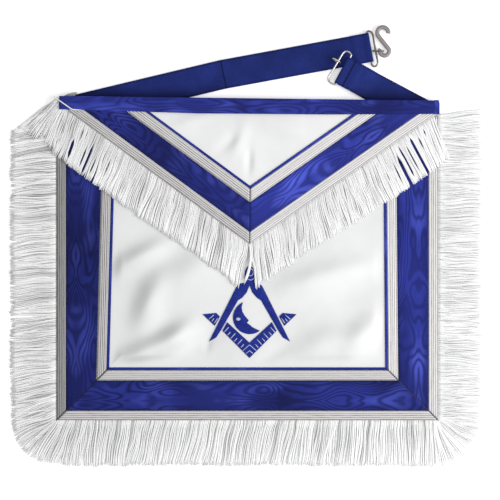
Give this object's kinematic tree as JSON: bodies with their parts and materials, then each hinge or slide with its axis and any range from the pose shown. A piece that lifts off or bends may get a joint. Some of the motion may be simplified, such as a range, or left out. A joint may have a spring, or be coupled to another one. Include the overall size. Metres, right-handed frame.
{
  "type": "masonic apron",
  "caption": "White leather lodge apron lying flat: pointed flap, silver braid, blue moire ribbon, fringe, stitched square and compasses with a moon, webbing belt and snake hook.",
  "frame": {"origin": "middle of the leather body's back face", "axes": "+Z out of the apron's face, +X to the right as seen, +Y up to the belt"},
  "size_m": [0.5039, 0.469, 0.0131],
  "materials": {
    "leather": "smooth white lambskin, soft folds",
    "fringe_thread": "white twisted silk fringe",
    "moire_ribbon": "royal blue watered ribbon with a soft sheen",
    "silver_braid": "silver metallic braid, ribbed lengthwise",
    "blue_edging": "narrow dark blue cord",
    "webbing": "matte blue webbing",
    "embroidery": "blue satin stitch",
    "eye_thread": "pale grey satin stitch",
    "nickel": "nickel plate"
  },
  "bodies": {
    "root": {"body_binding": "moire_ribbon", "body_panel": "leather", "compasses": "embroidery", "eye_ring": "nickel", "flap_fringe_left": "fringe_thread", "flap_fringe_right": "fringe_thread", "flap_inner_braid_left": "silver_braid", "flap_inner_braid_right": "silver_braid", "flap_inner_cord_left": "blue_edging", "flap_inner_cord_right": "blue_edging", "flap_outer_braid_left": "silver_braid", "flap_outer_braid_right": "silver_braid", "flap_panel": "leather", "flap_ribbon_left": "moire_ribbon", "flap_ribbon_right": "moire_ribbon", "fringe_bottom": "fringe_thread", "fringe_left": "fringe_thread", "fringe_right": "fringe_thread", "hook_link": "nickel", "inner_braid_bottom": "silver_braid", "inner_braid_left": "silver_braid", "inner_braid_right": "silver_braid", "inner_cord_bottom": "blue_edging", "inner_cord_left": "blue_edging", "inner_cord_right": "blue_edging", "long_loop": "nickel", "long_strap": "webbing", "moon": "embroidery", "moon_eye": "eye_thread", "outer_braid_bottom": "silver_braid", "outer_braid_left": "silver_braid", "outer_braid_right": "silver_braid", "ribbon_bottom": "moire_ribbon", "ribbon_left": "moire_ribbon", "ribbon_right": "moire_ribbon", "short_loop": "nickel", "short_strap": "webbing", "snake_hook": "nickel", "square_left_end": "embroidery", "square_middle": "embroidery", "square_right_end": "embroidery", "top_band": "moire_ribbon"}
  },
  "joints": []
}
